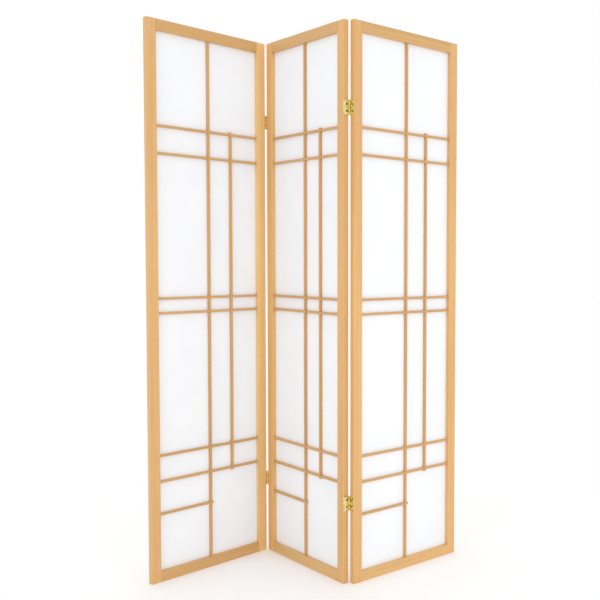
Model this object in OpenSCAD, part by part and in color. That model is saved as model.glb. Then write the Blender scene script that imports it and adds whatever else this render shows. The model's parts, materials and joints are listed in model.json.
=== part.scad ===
// Free-standing folding shoji screen: three lattice-and-paper panels on two-way pin hinges.
// Each panel's own frame: x across from its left edge, y from its front face to its back, z up.

/* [Panel] */
// Width of one panel
panel_w = 445; // [370:1:560]
// Height of one panel
panel_h = 1784; // [1480:1:2150]
// Thickness of the frame, front to back
frame_t = 19; // [16:0.5:26]
// Face width of the two stiles
stile_w = 33; // [26:1:45]
// Height of the top rail
top_rail_h = 35; // [26:1:60]
// Height of the bottom rail
bottom_rail_h = 34; // [26:1:60]
// Radius of the frame's outer edges and corners
edge_r = 1.5; // [0.5:0.25:3]
// Radius of the frame's edges round the opening
inner_edge_r = 1; // [0.25:0.25:1.5]

/* [Frame joinery] */
// Length of the rail tenons
tenon_l = 20; // [12:1:22]
// Thickness of the rail tenons
tenon_t = 6.4; // [4:0.2:8]
// Shoulder above and below each rail tenon
tenon_shoulder = 6; // [4:0.5:9]
// Clearance round a tenon or a lattice end in its mortise
joint_fit = 0.1; // [0.05:0.05:0.3]
// Empty depth left at the bottom of a mortise
mortise_spare = 0.3; // [0.1:0.1:1]

/* [Lattice] */
// Face width of the lattice bars
bar_w = 7.5; // [5:0.5:12]
// Set-back of the lattice behind the frame's front face
lattice_recess = 4.5; // [2:0.5:6]
// Set-back of the paper behind the frame's front face
paper_recess = 13; // [11:0.5:15]
// Length of a bar's end that is housed in the frame
stub_l = 5; // [3:0.5:8]
// Clearance on each side of a bar in a halved crossing
lap_fit = 0.1; // [0.05:0.05:0.3]
// Radius of the bars' front edges
bar_edge_r = 0.6; // [0.2:0.1:1]
// Length by which a free bar end passes the last bar that it crosses
bar_poke = 5; // [2:0.5:12]
// Long upright's centre from the panel's left edge
long_upright_x = 222; // [120:1:260]
// Short upright's centre, right of the long upright's
short_upright_step = 86; // [40:1:90]
// Upper pair's upper bar, below the panel's top
upper_pair_drop = 329; // [200:1:400]
// Spacing of the upper pair
upper_pair_gap = 86; // [30:1:140]
// Middle pair's upper bar, above the panel's mid height
middle_pair_rise = 18; // [0:1:60]
// Spacing of the middle pair
middle_pair_gap = 47; // [25:1:100]
// Lower pair's lower bar, above the floor
lower_pair_rise = 323; // [250:1:400]
// Spacing of the lower pair
lower_pair_gap = 84; // [30:1:140]
// Short cross bar, below the lower pair
short_bar_drop = 105; // [40:1:150]

/* [Paper] */
// Thickness of the paper
paper_t = 0.4; // [0.2:0.1:1]
// Width of the rebate that the paper's edges are glued in
rebate_w = 6; // [4:0.5:10]
// Clearance of the paper's edge in its rebate
paper_fit = 0.5; // [0.2:0.1:1]

/* [Hinges] */
// Gap between two panels that lie in one plane
hinge_gap = 7; // [6.5:0.5:14]
// Height of a hinge
hinge_h = 46; // [40:1:80]
// Upper hinge's centre, below the panel's top
upper_hinge_drop = 271; // [120:1:400]
// Lower hinge's centre, above the floor
lower_hinge_rise = 260; // [120:1:400]
// Thickness of the leaf plates
leaf_t = 1; // [0.8:0.1:1.2]
// Thickness of the link plate between the two pins
link_t = 1; // [0.8:0.1:1.5]
// Radius of the hinge pins
pin_r = 1.1; // [0.8:0.1:1.4]
// Outer radius of the knuckles
knuckle_r = 2.2; // [1.8:0.1:2.2]
// Distance of the pin axes outside the frame's faces
pin_out = 0.6; // [0.4:0.1:1.5]
// Distance of a leaf's free edge inside the frame's face
leaf_set = 1; // [0.8:0.1:3]
// Running clearance of a pin in a turning knuckle
pin_fit = 0.05; // [0.02:0.01:0.1]
// Clearance of a pin in the knuckles that carry it
pin_seat = 0.02; // [0.01:0.01:0.05]
// Gap between two knuckles, and between a knuckle and the link plate
knuckle_gap = 0.3; // [0.2:0.05:0.5]
// Radius of the buttons on the pins' ends
button_r = 1.8; // [1.5:0.1:2.1]
// Height of the buttons
button_h = 1.1; // [0.8:0.1:2]

/* [Screws] */
// Distance of the screws from a hinge's ends
screw_inset = 12; // [8:0.5:16]
// Radius of the screw heads
screw_head_r = 2.8; // [2.5:0.1:3.5]
// Radius of the screw shanks
screw_r = 1.5; // [1:0.1:2]
// Length of the screws
screw_l = 16; // [12:1:20]
// Width of the screwdriver slots
slot_w = 0.8; // [0.5:0.1:1.2]
// Depth of the screwdriver slots
slot_h = 0.6; // [0.3:0.1:0.8]
// Clearance round a screw
screw_fit = 0.1; // [0.05:0.05:0.2]
// Margin round a screw head in the link plate's access hole
access_margin = 0.5; // [0.3:0.1:1]

/* [Pose] */
// Turn of the left panel from flat, its front towards the centre panel's front
left_fold = 95; // [0:1:180]
// Turn of the right panel from flat, its back towards the centre panel's back
right_fold = 89.5; // [0:0.5:180]
// Heading of the centre panel's width, from the screen's length
centre_heading = -48.3; // [-90:0.1:0]

/* [Hidden] */
$fn = 48;
PANELS = ["left_panel", "centre_panel", "right_panel"];
CROSS_BARS = [1:6];
SIDES = ["left", "right"];
LEVELS = ["upper", "lower"];
HINGES = [for (s = SIDES, l = LEVELS) str(l, "_", s)];
SCREW_SETS = ["left_panel", "centre_panel_left", "centre_panel_right", "right_panel"];

wood = "#e6b97f";
rail_wood = "#d8ac6e";
paper_white = "#f2f2ee";
brass = "#dcb650";

// How far a cut runs past the face that it opens
over = 1;

opening_w = panel_w - 2 * stile_w;
opening_top = panel_h - top_rail_h;
opening_h = opening_top - bottom_rail_h;
lattice_mid = (lattice_recess + paper_recess) / 2;
short_upright_x = long_upright_x + short_upright_step;
bar_z = [
    panel_h - upper_pair_drop,
    panel_h - upper_pair_drop - upper_pair_gap,
    panel_h / 2 + middle_pair_rise,
    panel_h / 2 + middle_pair_rise - middle_pair_gap,
    lower_pair_rise + lower_pair_gap,
    lower_pair_rise
];
short_bar_z = lower_pair_rise - short_bar_drop;

// Hinge frame: x from the middle of the gap, y as the panel's, z from the hinge's lower end
half_gap = hinge_gap / 2;
left_gap_x = -half_gap;
right_gap_x = panel_w + half_gap;
hinge_z = [panel_h - upper_hinge_drop - hinge_h / 2, lower_hinge_rise - hinge_h / 2];
knuckle_pitch = (hinge_h + knuckle_gap) / 5;
knuckle_h = knuckle_pitch - knuckle_gap;
screw_z = [screw_inset, hinge_h - screw_inset];

// Pin axes in the centre panel's frame
left_front_pin = [left_gap_x, -pin_out];
right_back_pin = [right_gap_x, frame_t + pin_out];

function turned(p, a) = [p[0] * cos(a) - p[1] * sin(a), p[0] * sin(a) + p[1] * cos(a)];
function turned_about(p, pin, a) = pin + turned(p - pin, a);

// The plan's round corners and outer pins, from which the screen's middle is found
corner_xy = [for (x = [edge_r, panel_w - edge_r], y = [edge_r, frame_t - edge_r]) [x, y]];
plan_corners = concat(
    [for (c = corner_xy) turned_about(c - [hinge_gap + panel_w, 0], left_front_pin, left_fold)],
    corner_xy,
    [for (c = corner_xy) turned_about(c + [hinge_gap + panel_w, 0], right_back_pin, right_fold)]
);
plan_pins = [for (x = [left_gap_x, right_gap_x], y = [-pin_out, frame_t + pin_out]) [x, y]];
plan_low = [for (i = [0, 1]) min(
    min([for (c = plan_corners) turned(c, centre_heading)[i]]) - edge_r,
    min([for (c = plan_pins) turned(c, centre_heading)[i]]) - knuckle_r
)];
plan_high = [for (i = [0, 1]) max(
    max([for (c = plan_corners) turned(c, centre_heading)[i]]) + edge_r,
    max([for (c = plan_pins) turned(c, centre_heading)[i]]) + knuckle_r
)];
plan_mid = (plan_low + plan_high) / 2;

// A box given by two opposite corners
module box(low, high) {
    translate(low) cube(high - low);
}

// A rectangle with radii r at its corners, counter-clockwise from the origin, 0 for a sharp one
module eased_rect(w, d, r) {
    corners = [[0, 0], [w, 0], [w, d], [0, d]];
    difference() {
        square([w, d]);
        for (i = [0:3])
            if (r[i] > 0)
                translate(corners[i]) rotate(90 * i) difference() {
                    translate([-over, -over]) square(r[i] + over);
                    translate([r[i], r[i]]) circle(r[i]);
                }
    }
}

// Extrusions of an outline in (y, z) along x, and of one in (x, z) along y
module along_x(l) {
    rotate([90, 0, 90]) linear_extrude(l) children();
}

module along_y(l) {
    translate([0, l, 0]) rotate([90, 0, 0]) linear_extrude(l) children();
}

// Where each panel, hinge side and the whole screen stand
module turn_about(pin, a) {
    translate(pin) rotate(a) translate(-pin) children();
}

module stand() {
    translate(-plan_mid) rotate(centre_heading) children();
}

module on_panel(p) {
    stand() {
        if (p == "left_panel")
            turn_about(left_front_pin, left_fold) translate([-hinge_gap - panel_w, 0]) children();
        if (p == "centre_panel")
            children();
        if (p == "right_panel")
            turn_about(right_back_pin, right_fold) translate([panel_w + hinge_gap, 0]) children();
    }
}

// A stile with its outer edge at x = 0
module stile(has_short_bar, has_hinges) {
    color(wood) difference() {
        intersection() {
            linear_extrude(panel_h)
                eased_rect(stile_w, frame_t, [edge_r, inner_edge_r, inner_edge_r, edge_r]);
            along_x(stile_w) eased_rect(frame_t, panel_h, [edge_r, edge_r, edge_r, edge_r]);
            along_y(frame_t) eased_rect(stile_w, panel_h, [edge_r, 0, 0, edge_r]);
        }
        stile_rebate();
        rail_mortise(tenon_shoulder, bottom_rail_h - tenon_shoulder);
        rail_mortise(opening_top + tenon_shoulder, panel_h - tenon_shoulder);
        for (z = bar_z)
            bar_housing(z);
        if (has_short_bar)
            bar_housing(short_bar_z);
        if (has_hinges)
            for (z = hinge_z, s = screw_z)
                translate([-over, frame_t / 2, z + s]) rotate([0, 90, 0])
                    cylinder(h = screw_l - leaf_t + screw_fit + over, r = screw_r + screw_fit);
    }
}

module right_hand_stile(has_hinges) {
    translate([panel_w, 0]) mirror([1, 0, 0]) stile(false, has_hinges);
}

module stile_rebate() {
    box([stile_w - rebate_w, paper_recess, bottom_rail_h - rebate_w],
        [stile_w + over, frame_t + over, opening_top + rebate_w]);
}

module rail_mortise(z_low, z_high) {
    box([stile_w - tenon_l - mortise_spare, (frame_t - tenon_t) / 2 - joint_fit, z_low - joint_fit],
        [stile_w + over, (frame_t + tenon_t) / 2 + joint_fit, z_high + joint_fit]);
}

module bar_housing(z) {
    box([stile_w - stub_l - mortise_spare, lattice_recess - joint_fit, z - bar_w / 2 - joint_fit],
        [stile_w + over, paper_recess + over, z + bar_w / 2 + joint_fit]);
}

// A rail between the stiles, standing on z = 0, with its paper side at the top
module rail(h) {
    color(rail_wood) difference() {
        union() {
            translate([stile_w, 0, 0]) along_x(opening_w)
                eased_rect(frame_t, h, [edge_r, edge_r, inner_edge_r, inner_edge_r]);
            box([stile_w - tenon_l, (frame_t - tenon_t) / 2, tenon_shoulder],
                [panel_w - stile_w + tenon_l, (frame_t + tenon_t) / 2, h - tenon_shoulder]);
        }
        box([stile_w - over, paper_recess, h - rebate_w],
            [panel_w - stile_w + over, frame_t + over, h + over]);
        translate([long_upright_x, 0, 0])
            box([-bar_w / 2 - joint_fit, lattice_recess - joint_fit, h - stub_l - mortise_spare],
                [bar_w / 2 + joint_fit, paper_recess + over, h + over]);
    }
}

module bottom_rail() {
    rail(bottom_rail_h);
}

module top_rail() {
    translate([0, 0, panel_h]) mirror([0, 0, 1]) rail(top_rail_h);
}

// The sheet glued to the lattice's back and into the rebate
module paper() {
    edge = rebate_w - paper_fit;
    color(paper_white)
        box([stile_w - edge, paper_recess, bottom_rail_h - edge],
            [panel_w - stile_w + edge, paper_recess + paper_t, opening_top + edge]);
}

// A plain bar's section, its front edges eased
module bar_section() {
    translate([0, lattice_recess])
        eased_rect(bar_w, paper_recess - lattice_recess, [bar_edge_r, bar_edge_r, 0, 0]);
}

// An upright bar, halved from the back where bars cross it
module upright(x, z_low, z_high, crossings) {
    color(wood) difference() {
        translate([x - bar_w / 2, 0, z_low]) linear_extrude(z_high - z_low) bar_section();
        for (z = crossings)
            box([x - bar_w, lattice_mid, z - bar_w / 2 - lap_fit],
                [x + bar_w, paper_recess + over, z + bar_w / 2 + lap_fit]);
    }
}

// A level bar, halved from the front where uprights cross it
module level_bar(z, x_low, x_high, crossings) {
    color(wood) difference() {
        translate([x_low, 0, z - bar_w / 2]) along_x(x_high - x_low)
            translate([lattice_recess, 0])
                eased_rect(paper_recess - lattice_recess, bar_w, [bar_edge_r, 0, 0, bar_edge_r]);
        for (x = crossings)
            box([x - bar_w / 2 - lap_fit, lattice_recess - over, z - bar_w],
                [x + bar_w / 2 + lap_fit, lattice_mid, z + bar_w]);
    }
}

module long_upright() {
    upright(long_upright_x, bottom_rail_h - stub_l, opening_top + stub_l, concat(bar_z, [short_bar_z]));
}

module short_upright() {
    reach = bar_w / 2 + bar_poke;
    upright(short_upright_x, bar_z[5] - reach, bar_z[0] + reach, bar_z);
}

module cross_bar(i) {
    level_bar(bar_z[i - 1], stile_w - stub_l, panel_w - stile_w + stub_l,
        [long_upright_x, short_upright_x]);
}

module short_cross_bar() {
    level_bar(short_bar_z, stile_w - stub_l, long_upright_x + bar_w / 2 + bar_poke, [long_upright_x]);
}

// A leaf on a panel's right-hand edge, with the front pin's knuckles
module leaf() {
    color(brass) difference() {
        union() {
            box([-half_gap, -pin_out - leaf_t / 2, 0], [leaf_t - half_gap, frame_t - leaf_set, hinge_h]);
            for (i = [0, 2, 4])
                translate([0, -pin_out, i * knuckle_pitch]) {
                    cylinder(h = knuckle_h, r = knuckle_r);
                    box([-half_gap, -leaf_t / 2, 0], [0, leaf_t / 2, knuckle_h]);
                }
        }
        translate([0, -pin_out, -over]) cylinder(h = hinge_h + 2 * over, r = pin_r + pin_fit);
        for (z = screw_z)
            translate([-half_gap, frame_t / 2, z]) rotate([0, 90, 0])
                cylinder(h = leaf_t, r1 = screw_r + screw_fit, r2 = screw_head_r + screw_fit);
    }
}

// The opposite leaf, with the back pin's knuckles
module opposite() {
    translate([0, frame_t, 0]) rotate(180) children();
}

// The plate that carries both pins, with a hole over each screw to drive it through
module link() {
    plate_y = knuckle_r + knuckle_gap - pin_out;
    color(brass) difference() {
        union() {
            box([-link_t / 2, plate_y, 0], [link_t / 2, frame_t - plate_y, hinge_h]);
            for (i = [1, 3])
                translate([0, 0, i * knuckle_pitch]) {
                    box([-link_t / 2, -pin_out, 0], [link_t / 2, frame_t + pin_out, knuckle_h]);
                    for (y = [-pin_out, frame_t + pin_out])
                        translate([0, y, 0]) cylinder(h = knuckle_h, r = knuckle_r);
                }
        }
        for (y = [-pin_out, frame_t + pin_out])
            translate([0, y, -over]) cylinder(h = hinge_h + 2 * over, r = pin_r + pin_seat);
        for (z = screw_z)
            translate([-link_t, frame_t / 2, z]) rotate([0, 90, 0])
                cylinder(h = 2 * link_t, r = screw_head_r + access_margin);
    }
}

// A pin with a chamfered button at each end
module pin() {
    cylinder(h = hinge_h, r = pin_r);
    for (up = [0, 1])
        translate([0, 0, up * hinge_h]) mirror([0, 0, 1 - up]) {
            cylinder(h = knuckle_gap, r = pin_r);
            translate([0, 0, knuckle_gap]) cylinder(h = button_h / 2, r = button_r);
            translate([0, 0, knuckle_gap + button_h / 2])
                cylinder(h = button_h / 2, r1 = button_r, r2 = button_r - button_h / 2);
        }
}

module link_pins() {
    color(brass)
        for (z = hinge_z, y = [-pin_out, frame_t + pin_out])
            translate([0, y, z]) pin();
}

// A slotted countersunk screw, its head's top at z = 0 and its point below
module screw() {
    difference() {
        union() {
            translate([0, 0, -leaf_t]) cylinder(h = leaf_t, r1 = screw_r, r2 = screw_head_r);
            translate([0, 0, screw_r - screw_l]) cylinder(h = screw_l - leaf_t - screw_r, r = screw_r);
            translate([0, 0, -screw_l]) cylinder(h = screw_r, r1 = 0.2, r2 = screw_r);
        }
        box([-screw_head_r - over, -slot_w / 2, -slot_h], [screw_head_r + over, slot_w / 2, over]);
    }
}

// The screws of one panel edge's leaves, in the frame of its hinges
module leaf_screws() {
    color(brass)
        for (z = hinge_z, s = screw_z)
            translate([leaf_t - half_gap, frame_t / 2, z + s]) rotate([0, 90, 0]) rotate(30) screw();
}

for (p = PANELS) {
    on_panel(p) stile(true, p != PANELS[0]);
    on_panel(p) right_hand_stile(p != PANELS[2]);
    on_panel(p) top_rail();
    on_panel(p) bottom_rail();
    on_panel(p) paper();
    on_panel(p) long_upright();
    on_panel(p) short_upright();
    on_panel(p) short_cross_bar();
    for (i = CROSS_BARS)
        on_panel(p) cross_bar(i);
}

// Hinges: two leaves on the facing edges, and a link that lies along the centre panel's edge
for (l = [0, 1]) {
    lift = hinge_z[l];
    on_panel("left_panel") translate([right_gap_x, 0, lift]) leaf();
    on_panel("centre_panel") translate([left_gap_x, 0, lift]) opposite() leaf();
    on_panel("centre_panel") translate([left_gap_x, 0, lift]) link();
    on_panel("centre_panel") translate([right_gap_x, 0, lift]) leaf();
    on_panel("right_panel") translate([left_gap_x, 0, lift]) opposite() leaf();
    on_panel("centre_panel") translate([right_gap_x, 0, lift]) link();
}
on_panel("centre_panel") translate([left_gap_x, 0, 0]) link_pins();  // left_link_pins
on_panel("centre_panel") translate([right_gap_x, 0, 0]) link_pins();  // right_link_pins
on_panel("left_panel") translate([right_gap_x, 0, 0]) leaf_screws();  // left_panel_hinge_screws
on_panel("centre_panel") translate([right_gap_x, 0, 0]) leaf_screws();  // centre_panel_right_hinge_screws
on_panel("centre_panel") translate([left_gap_x, 0, 0]) opposite() leaf_screws();  // centre_panel_left_hinge_screws
on_panel("right_panel") translate([left_gap_x, 0, 0]) opposite() leaf_screws();  // right_panel_hinge_screws
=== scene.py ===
import json
import math

import bpy
from mathutils import Matrix, Vector


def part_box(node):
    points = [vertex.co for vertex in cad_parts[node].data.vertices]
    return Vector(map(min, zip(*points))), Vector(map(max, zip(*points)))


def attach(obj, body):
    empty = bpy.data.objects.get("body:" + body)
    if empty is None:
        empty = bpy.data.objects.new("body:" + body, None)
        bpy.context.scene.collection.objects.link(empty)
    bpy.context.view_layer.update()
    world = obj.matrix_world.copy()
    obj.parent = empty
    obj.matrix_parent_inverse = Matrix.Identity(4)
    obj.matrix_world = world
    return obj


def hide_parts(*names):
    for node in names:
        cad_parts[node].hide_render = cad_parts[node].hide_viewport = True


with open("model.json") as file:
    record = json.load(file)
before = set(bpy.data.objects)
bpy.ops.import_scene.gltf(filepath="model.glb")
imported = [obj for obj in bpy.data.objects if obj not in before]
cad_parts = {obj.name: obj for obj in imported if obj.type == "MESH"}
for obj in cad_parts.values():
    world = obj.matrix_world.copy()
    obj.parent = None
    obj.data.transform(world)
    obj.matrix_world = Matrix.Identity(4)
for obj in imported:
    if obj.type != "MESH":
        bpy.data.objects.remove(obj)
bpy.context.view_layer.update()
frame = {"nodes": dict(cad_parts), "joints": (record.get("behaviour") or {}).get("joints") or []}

PANELS = ("left_panel", "centre_panel", "right_panel")

# Sizes of one panel, in metres
PANEL_WIDE = 0.445
PANEL_DEEP = 0.019
STILE_WIDE = 0.033
BAR_WIDE = 0.0075
# The uprights' middles, from the panel's left edge
LONG_UPRIGHT_AT = 0.222
SHORT_UPRIGHT_AT = 0.308

# The hinges' gap between two panels, and how far their pins stand outside the panels' faces
HINGE_GAP = 0.007
PIN_OUT = 0.0006

# The paper's rebate, its clearance there, and its face's distance behind the panel's front
REBATE = 0.006
PAPER_MARGIN = 0.0005
PAPER_AT = 0.013
PAPER_THICK = 0.0003
# How far the paper gives, how far from a glued line it is quite free, and the size of its cockles
PAPER_SLACK = 0.0016
FREE_REACH = 0.045
COCKLE_SIZE = 0.11
# Softness of the edge of the glue tint and painted bar shadow along a bar, and how far past the
# long upright's middle the tint and shadow under the short cross bar fade out, and over how much
# either way
GLUE_AND_SHADOW_BLUR = 0.0012
SHORT_BAR_PAST = 0.008
SHORT_BAR_FADE = 0.001
# Squares across and up a sheet
SHEET_SQUARES = (60, 250)

joints = {joint["name"]: joint for joint in frame["joints"]}


# ---- where each panel stands ----

def heading_of(panel):
    """The turn of a panel's width from the screen's length, in degrees."""
    start, end = (Vector(joints[name]["pos_m"]) for name in ("left_front_pin", "right_front_pin"))
    across = end - start
    centre = math.degrees(math.atan2(across.y, across.x))
    if panel == "left_panel":
        return centre - joints["left_front_pin"]["range_deg"][0]
    if panel == "right_panel":
        return centre - joints["right_back_pin"]["range_deg"][0]
    return centre


def corner_of(panel):
    """The floor point at a panel's front left corner, found from the pin that it turns on."""
    pin, reach = {
        "left_panel": ("left_front_pin", (PANEL_WIDE + HINGE_GAP / 2, -PIN_OUT, 0)),
        "centre_panel": ("left_front_pin", (-HINGE_GAP / 2, -PIN_OUT, 0)),
        "right_panel": ("right_back_pin", (-HINGE_GAP / 2, PANEL_DEEP + PIN_OUT, 0)),
    }[panel]
    turn = Matrix.Rotation(math.radians(heading_of(panel)), 3, "Z")
    return Vector(joints[pin]["pos_m"]) - turn @ Vector(reach)


def panel_place(panel):
    """The matrix that stands a panel, drawn from its front left corner, where it belongs."""
    turn = Matrix.Rotation(math.radians(heading_of(panel)), 4, "Z")
    return Matrix.Translation(corner_of(panel)) @ turn


def middle_height(node):
    low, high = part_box(node)
    return (low.z + high.z) / 2


def cross_bar_heights(panel):
    return [middle_height(f"{panel}_cross_bar_{i}") for i in range(1, 7)]


# ---- making materials ----

class Value:
    """A number on a surface, which changes from place to place. Sums on it become Math nodes."""

    def __init__(self, finish, socket):
        self.finish = finish
        self.socket = socket

    def maths(self, operation, *others):
        return self.finish.maths(operation, self, *others)

    def __add__(self, other):
        return self.maths("ADD", other)

    def __radd__(self, other):
        return self.maths("ADD", other)

    def __sub__(self, other):
        return self.maths("SUBTRACT", other)

    def __rsub__(self, other):
        return self.finish.maths("SUBTRACT", other, self)

    def __mul__(self, other):
        return self.maths("MULTIPLY", other)

    def __rmul__(self, other):
        return self.maths("MULTIPLY", other)

    def __abs__(self):
        return self.maths("ABSOLUTE")

    def ramp(self, low, high):
        """0 below low, 1 above high, smooth between; the other way round if low is above high."""
        node = self.finish.node(
            "ShaderNodeMapRange", {"interpolation_type": "SMOOTHSTEP"},
            {"Value": self, "From Min": low, "From Max": high})
        return self.finish.value(node, "Result")

    def at_least(self, other):
        return self.maths("MAXIMUM", other)

    def at_most(self, other):
        return self.maths("MINIMUM", other)


class Finish:
    """One material, built node by node."""

    def __init__(self, name):
        self.material = bpy.data.materials.new(name)
        self.material.use_nodes = True
        self.tree = self.material.node_tree
        self.tree.nodes.clear()
        self.output = self.node("ShaderNodeOutputMaterial", {}, {})

    def node(self, kind, settings, inputs):
        made = self.tree.nodes.new(kind)
        for key, setting in settings.items():
            setattr(made, key, setting)
        for key, given in inputs.items():
            if isinstance(given, Value):
                given = given.socket
            if isinstance(given, bpy.types.NodeSocket):
                self.tree.links.new(given, made.inputs[key])
            else:
                made.inputs[key].default_value = given
        return made

    def value(self, node, socket):
        return Value(self, node.outputs[socket])

    def maths(self, operation, *values):
        node = self.node("ShaderNodeMath", {"operation": operation}, dict(enumerate(values)))
        return self.value(node, "Value")

    def place(self, turn=0.0, centre=(0, 0, 0)):
        """Object coordinates, moved so that centre is the origin, then turned about the upright."""
        around = Matrix.Rotation(math.radians(turn), 3, "Z")
        shift = around @ -Vector(centre)
        coordinates = self.node("ShaderNodeTexCoord", {}, {})
        mapping = self.node(
            "ShaderNodeMapping", {"vector_type": "POINT"},
            {"Vector": coordinates.outputs["Object"], "Location": shift,
             "Rotation": (0, 0, math.radians(turn))})
        return mapping.outputs["Vector"]

    def stretched(self, place, scale, shift=(0, 0, 0)):
        node = self.node(
            "ShaderNodeMapping", {"vector_type": "POINT"},
            {"Vector": place, "Scale": scale, "Location": shift})
        return node.outputs["Vector"]

    def parts(self, place):
        node = self.node("ShaderNodeSeparateXYZ", {}, {"Vector": place})
        return [self.value(node, axis) for axis in "XYZ"]

    def noise(self, place, scale=1.0, detail=2.0, roughness=0.5, distortion=0.0):
        node = self.node(
            "ShaderNodeTexNoise", {"noise_dimensions": "3D"},
            {"Vector": place, "Scale": scale, "Detail": detail, "Roughness": roughness,
             "Distortion": distortion})
        return self.value(node, "Fac")

    def mix(self, amount, first, second):
        """The colour first where amount is 0, and second where it is 1."""
        node = self.node(
            "ShaderNodeMix", {"data_type": "RGBA", "clamp_factor": True},
            {0: amount, 6: first, 7: second})
        return node.outputs[2]

    def bump(self, height, strength, distance):
        node = self.node(
            "ShaderNodeBump", {}, {"Height": height, "Strength": strength, "Distance": distance})
        return node.outputs["Normal"]

    def surface(self, **inputs):
        sockets = {key.replace("_", " "): given for key, given in inputs.items()}
        shader = self.node("ShaderNodeBsdfPrincipled", {}, sockets)
        self.tree.links.new(shader.outputs["BSDF"], self.output.inputs["Surface"])
        return self.material


def colour(red, green, blue):
    """An sRGB colour, 0 to 255, as the linear one that shaders take."""
    def linear(level):
        level = level / 255
        return level / 12.92 if level <= 0.04045 else ((level + 0.055) / 1.055) ** 2.4
    return (linear(red), linear(green), linear(blue), 1.0)


# ---- colours ----

# The pale and the deep colour of each kind of wooden piece
STILE_WOOD = (230, 183, 119), (209, 158, 95)
RAIL_WOOD = (221, 175, 113), (198, 150, 90)
BAR_WOOD = (215, 168, 108), (192, 144, 86)
PORE_BROWN = colour(150, 104, 58)

# Red, green and blue multipliers that make some pieces paler or darker than their kind. They were
# set with the panels in their places at rest: most of all they lift the stiles in the folds
# These multipliers are painted light and shade that even out how brightly the lamps light each
# piece: most of all they lift the stiles that stand in the shade of the folds.
BOARD_PAINTED_LIGHT_AND_SHADE = {
    "left_panel_right_stile": (1.06, 1.12, 1.19), "centre_panel_left_stile": (1.03, 1.05, 1.07),
    "left_panel_left_stile": (0.985, 0.985, 0.985), "left_panel_top_rail": (0.99, 0.99, 0.98),
    "centre_panel_right_stile": (0.99, 0.985, 0.98), "right_panel_bottom_rail": (1.05, 1.07, 1.08),
    "centre_panel_bottom_rail": (1.02, 1.04, 1.05)}

PAPER_WHITE, PAPER_SHADE = colour(247, 249, 252), colour(236, 239, 243)
FIBRE_WHITE = colour(253, 253, 253)
# A glue tint and a painted shadow of the bars: the sheet is opaque, and this stands in for the
# lattice showing through translucent paper from behind
GLUE_AND_BAR_SHADOW_TAN = colour(206, 190, 160)

# The screws are far darker than the leaves that they hold
LEAF_BRIGHT, LEAF_DULL = colour(250, 236, 172), colour(212, 188, 108)
SCREW_BRIGHT, SCREW_DULL = colour(128, 102, 42), colour(74, 56, 20)
# Dark patches on the brass: partly tarnished brass, partly painted dark reflections of surroundings
# that the white studio lacks
TARNISH_AND_PAINTED_REFLECTION = colour(104, 82, 26)

FLOOR_WHITE, FLOOR_SHADE = colour(242, 242, 242), colour(240, 240, 240)


# ---- finishes ----

# How often each mark of the wood repeats, per metre across and along the grain
GRAIN = {
    "drift": (9, 1.1), "bands": (150, 1.6), "streaks": (520, 5), "fibres": (1900, 38),
    "pores": (1500, 130), "ripple": (24, 60)}
# How far apart each mark's pattern starts, so that no two line up
GRAIN_START = {"drift": 0, "bands": 3, "streaks": 7, "fibres": 11, "pores": 17, "ripple": 23}
# Where the first panel's grain starts, and how much further each next panel's and piece's does
FIRST_GRAIN = 5.0
NEXT_PANEL = 19
NEXT_PIECE = 13


def wood(name, turn, way, pale, deep, seed):
    """Clear-lacquered light wood: fine straight grain, faint growth bands, short dark pores."""
    finish = Finish(name)
    place = finish.place(-turn)

    def mark(kind, **noise):
        across, along = GRAIN[kind]
        scale = (across, across, along) if way == "upright" else (along, across, across)
        start = seed + GRAIN_START[kind]
        shift = (start, start * 0.7, start * 1.3)
        return finish.noise(finish.stretched(place, scale, shift), **noise)

    drift = mark("drift", detail=2)
    bands = mark("bands", detail=2.5, distortion=0.25)
    streaks = mark("streaks", detail=3, roughness=0.6)
    fibres = mark("fibres", detail=2)
    pores = mark("pores", detail=1).ramp(0.66, 0.74)
    ripple = mark("ripple", detail=1)
    tone = (bands - 0.5) * 1.1 + (streaks - 0.5) * 0.7 + (fibres - 0.5) * 0.35 + (drift - 0.5) * 1.0
    depth = (tone + 0.42 + (ripple - 0.5) * 0.18).at_least(0).at_most(1)
    base = finish.mix(depth, pale, deep)
    base = finish.mix(pores * 0.22, base, PORE_BROWN)
    rough = 0.40 + (streaks - 0.5) * 0.16 + pores * 0.12
    height = fibres * 0.5 + streaks * 0.5 - pores * 0.6
    return finish.surface(
        Base_Color=base, Roughness=rough, IOR=1.5, Coat_Weight=0.18, Coat_Roughness=0.22,
        Normal=finish.bump(height, 0.22, 0.0002))


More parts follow.
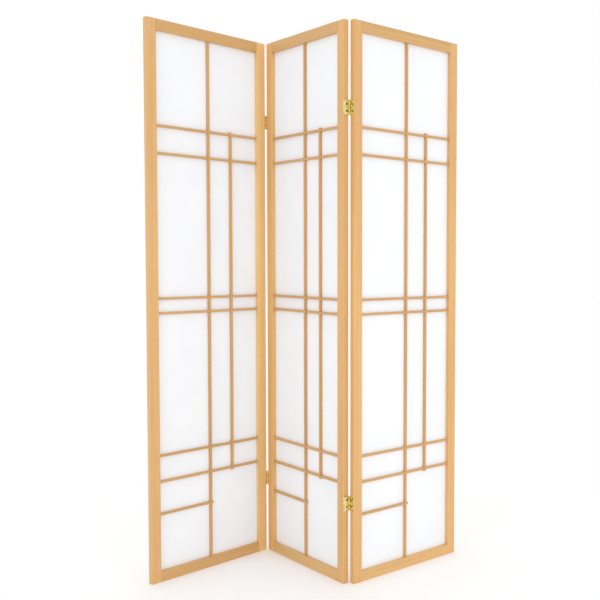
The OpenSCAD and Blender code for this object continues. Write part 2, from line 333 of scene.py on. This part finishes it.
def shoji_paper(name, panel):
    """Matt white paper with faint long fibres, darker along the bars that it is glued to: a glue
    tint and a painted shadow of the bars, as they would show through translucent paper from behind.
    """
    finish = Finish(name)
    place = finish.place(-heading_of(panel), corner_of(panel))
    x, y, z = finish.parts(place)
    cloud = finish.noise(finish.stretched(place, (9, 9, 6)), detail=3)
    grain = finish.noise(finish.stretched(place, (420, 420, 420)), detail=2)
    hairs = []
    for scale, twist in (((26, 26, 60), 1.9), ((70, 70, 24), 2.6)):
        wander = finish.noise(finish.stretched(place, scale), detail=2, distortion=twist)
        hairs.append(abs(wander - 0.5).ramp(0.012, 0.0))
    patch = finish.noise(finish.stretched(place, (17, 17, 17)), detail=1).ramp(0.46, 0.66)
    fibre = hairs[0].at_least(hairs[1]) * patch
    tone = (cloud - 0.5) * 0.9 + (grain - 0.5) * 0.5 + 0.3
    base = finish.mix(tone.at_least(0).at_most(1), PAPER_WHITE, PAPER_SHADE)
    base = finish.mix(fibre * 0.5, base, FIBRE_WHITE)
    # Darker along the bars: a glue tint and a painted shadow of the bars seen through the paper
    glued = glue_and_bar_shadow_lines(x, z, panel)
    base = finish.mix(glued * 0.35, base, GLUE_AND_BAR_SHADOW_TAN)
    height = fibre * 0.6 + grain * 0.4 + cloud
    return finish.surface(
        Base_Color=base, Roughness=0.86 - fibre * 0.12, IOR=1.4,
        Normal=finish.bump(height, 0.12, 0.0004))


def glue_and_bar_shadow_lines(x, z, panel):
    """1 where the paper lies on a lattice bar, 0 elsewhere: where the glue tint and the painted bar
    shadow go.
    """
    def strip(across, middle, half=BAR_WIDE / 2):
        return abs(across - middle).ramp(half + GLUE_AND_SHADOW_BLUR, half)

    short_low, short_high = (corner.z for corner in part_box(f"{panel}_short_upright"))
    short_reach = strip(z, (short_low + short_high) / 2, (short_high - short_low) / 2)
    lines = strip(x, LONG_UPRIGHT_AT)
    lines = lines.at_least(strip(x, SHORT_UPRIGHT_AT) * short_reach)
    for height in cross_bar_heights(panel):
        lines = lines.at_least(strip(z, height))
    short_bar_end = LONG_UPRIGHT_AT + SHORT_BAR_PAST
    short_bar_reach = x.ramp(short_bar_end + SHORT_BAR_FADE, short_bar_end - SHORT_BAR_FADE)
    return lines.at_least(strip(z, middle_height(f"{panel}_short_cross_bar")) * short_bar_reach)


def brass(name, bright, dull, rough):
    """Brass brushed along its length, with duller smudges and dark patches, which are partly
    tarnished brass and partly painted dark reflections.
    """
    finish = Finish(name)
    place = finish.place()
    smudge = finish.noise(place, scale=160, detail=3)
    tarnish_and_reflection_patches = finish.noise(place, scale=330, detail=3, distortion=0.6).ramp(0.56, 0.70)
    freckles = finish.noise(place, scale=1500, detail=1).ramp(0.64, 0.72)
    brushing = finish.noise(finish.stretched(place, (2600, 2600, 90)), detail=2)
    # The dark patches are painted dark reflections, with some tarnished brass among them
    dark = (tarnish_and_reflection_patches * 0.62).at_least(freckles * 0.35)
    base = finish.mix(smudge.ramp(0.35, 0.75), bright, dull)
    base = finish.mix(dark, base, TARNISH_AND_PAINTED_REFLECTION)
    height = brushing + smudge * 3
    return finish.surface(
        Base_Color=base, Metallic=1.0, Roughness=rough + (smudge - 0.5) * 0.14 + dark * 0.25,
        Normal=finish.bump(height, 0.08, 0.0002))


def finish_panel(panel, seed):
    """Gives a panel's wooden pieces their grain, which runs along each piece."""
    pieces = {"left_stile": (STILE_WOOD, "upright"), "right_stile": (STILE_WOOD, "upright"),
              "top_rail": (RAIL_WOOD, "level"), "bottom_rail": (RAIL_WOOD, "level"),
              "uprights": (BAR_WOOD, "upright"), "cross_bars": (BAR_WOOD, "level")}
    for number, (piece, (shades, way)) in enumerate(pieces.items()):
        # The piece's painted light and shade, from the table above
        tone = BOARD_PAINTED_LIGHT_AND_SHADE.get(f"{panel}_{piece}", (1, 1, 1))
        pale, deep = (
            colour(*(level * part for level, part in zip(shade, tone))) for shade in shades)
        start = seed + NEXT_PIECE * number
        material = wood(f"{panel}_{piece}_wood", heading_of(panel), way, pale, deep, start)
        for node in nodes_of(panel, piece):
            cover(node, material)


def nodes_of(panel, piece):
    if piece == "uprights":
        return [f"{panel}_long_upright", f"{panel}_short_upright"]
    if piece == "cross_bars":
        return [f"{panel}_short_cross_bar"] + [f"{panel}_cross_bar_{i}" for i in range(1, 7)]
    return [f"{panel}_{piece}"]


def cover(node, material):
    """Gives a CAD node its finish."""
    slots = frame["nodes"][node].material_slots
    for slot in slots:
        slot.material = material


def finish_hinges():
    leaf_brass = brass("hinge_brass", LEAF_BRIGHT, LEAF_DULL, 0.16)
    screw_brass = brass("screw_brass", SCREW_BRIGHT, SCREW_DULL, 0.26)
    for node in frame["nodes"]:
        if node.endswith("_hinge_screws"):
            cover(node, screw_brass)
        elif node.endswith(("_leaf", "_link", "_link_pins")):
            cover(node, leaf_brass)


# ---- paper sheets ----

def paper_sheet(panel):
    """A sheet glued to the lattice and in the rebate, and a little slack across each clear pane."""
    low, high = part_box(f"{panel}_paper")
    wide = PANEL_WIDE - 2 * (STILE_WIDE - REBATE + PAPER_MARGIN)
    tall = high.z - low.z
    bpy.ops.object.select_all(action="DESELECT")
    across, up = SHEET_SQUARES
    bpy.ops.mesh.primitive_grid_add(x_subdivisions=across, y_subdivisions=up, size=1)
    sheet = bpy.context.object
    sheet.name = f"{panel}_paper_sheet"
    bpy.ops.object.mode_set(mode="EDIT")
    bpy.ops.transform.resize(value=(wide, tall, 1))
    bpy.ops.object.mode_set(mode="OBJECT")
    stand_up = Matrix.Rotation(math.radians(90), 4, "X")
    middle = Matrix.Translation((PANEL_WIDE / 2, PAPER_AT, low.z + tall / 2))
    sheet.data.transform(middle @ stand_up)
    free = mark_free_paper(sheet, panel)
    sheet.data.transform(panel_place(panel))
    slacken(sheet, free)
    backing = sheet.modifiers.new("thickness", "SOLIDIFY")
    backing.thickness = PAPER_THICK
    backing.offset = -1
    bpy.ops.object.modifier_apply(modifier=backing.name)
    sheet.data.shade_smooth()
    sheet.data.materials.append(shoji_paper(f"{panel}_shoji_paper", panel))
    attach(sheet, panel)
    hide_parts(f"{panel}_paper")


def mark_free_paper(sheet, panel):
    """A vertex group that is 0 along the glued lines and rises to 1 in the middle of a pane."""
    heights = cross_bar_heights(panel)
    short_bar = middle_height(f"{panel}_short_cross_bar")
    short_low, short_high = (corner.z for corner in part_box(f"{panel}_short_upright"))
    rail_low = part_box(f"{panel}_top_rail")[0].z
    rail_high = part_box(f"{panel}_bottom_rail")[1].z
    free = sheet.vertex_groups.new(name="free_paper")
    half = BAR_WIDE / 2
    for vertex in sheet.data.vertices:
        x, z = vertex.co.x, vertex.co.z
        away = [x - STILE_WIDE, PANEL_WIDE - STILE_WIDE - x, z - rail_high, rail_low - z]
        away.append(abs(x - LONG_UPRIGHT_AT) - half)
        away += [abs(z - height) - half for height in heights]
        if short_low < z < short_high:
            away.append(abs(x - SHORT_UPRIGHT_AT) - half)
        if x < LONG_UPRIGHT_AT:
            away.append(abs(z - short_bar) - half)
        reach = min(max(min(away), 0) / FREE_REACH, 1)
        smooth_reach = reach * reach * (3 - 2 * reach)
        free.add([vertex.index], smooth_reach, "REPLACE")
    return free


def slacken(sheet, free):
    """Pushes the free paper back in shallow cockles."""
    cockle = bpy.data.textures.new(f"{sheet.name}_cockle", "CLOUDS")
    cockle.noise_scale = COCKLE_SIZE
    cockle.noise_depth = 1
    slack = sheet.modifiers.new("slack", "DISPLACE")
    slack.texture = cockle
    slack.texture_coords = "LOCAL"
    slack.direction = "NORMAL"
    slack.vertex_group = free.name
    slack.mid_level = 0
    slack.strength = -PAPER_SLACK
    bpy.ops.object.modifier_apply(modifier=slack.name)


# ---- setting ----

def make_floor():
    bpy.ops.object.select_all(action="DESELECT")
    bpy.ops.mesh.primitive_plane_add(size=40)
    floor = bpy.context.object
    floor.name = "floor"
    finish = Finish("pale_floor")
    place = finish.place()
    cloud = finish.noise(place, scale=1.5, detail=2)
    base = finish.mix(cloud, FLOOR_WHITE, FLOOR_SHADE)
    floor.data.materials.append(finish.surface(
        Base_Color=base, Roughness=0.9, Emission_Color=(1, 1, 1, 1), Emission_Strength=0.12))


def soft_light(name, at, towards, size, power):
    light = bpy.data.lights.new(name, "AREA")
    light.shape = "SQUARE"
    light.size = size
    light.energy = power
    lamp = bpy.data.objects.new(name, light)
    bpy.context.collection.objects.link(lamp)
    lamp.location = at
    lamp.rotation_euler = (Vector(towards) - Vector(at)).to_track_quat("-Z", "Y").to_euler()


def make_lights():
    world = bpy.data.worlds.new("studio")
    bpy.context.scene.world = world
    world.use_nodes = True
    sky = world.node_tree.nodes["Background"]
    sky.inputs["Color"].default_value = (1, 1, 1, 1)
    sky.inputs["Strength"].default_value = 1.0
    screen_middle = (0, 0, 0.8)
    soft_light("right_softbox", at=(1.9, -2.2, 0.75), towards=screen_middle, size=1.0, power=6)
    soft_light("left_softbox", at=(-1.2, -2.3, 0.75), towards=screen_middle, size=1.0, power=4)
    bpy.context.scene.view_settings.view_transform = "Standard"


def make_camera():
    """The camera stands in front, right of the screen's middle, at chest height."""
    view = bpy.data.cameras.new("camera")
    view.lens = 50.61
    view.sensor_width = 36
    view.shift_x = -0.25
    camera = bpy.data.objects.new("camera", view)
    bpy.context.collection.objects.link(camera)
    camera.location = (0.3550, -2.8353, 1.0422)
    yaw, pitch, roll = (math.radians(a) for a in (2.30, -2.79, 0.36))
    turn = Matrix.Rotation(-yaw, 3, "Z") @ Matrix.Rotation(math.radians(90) + pitch, 3, "X")
    camera.rotation_euler = (turn @ Matrix.Rotation(roll, 3, "Z")).to_euler()
    bpy.context.scene.camera = camera


make_camera()
make_floor()
make_lights()
for number, panel in enumerate(PANELS):
    finish_panel(panel, FIRST_GRAIN + NEXT_PANEL * number)
    paper_sheet(panel)
finish_hinges()
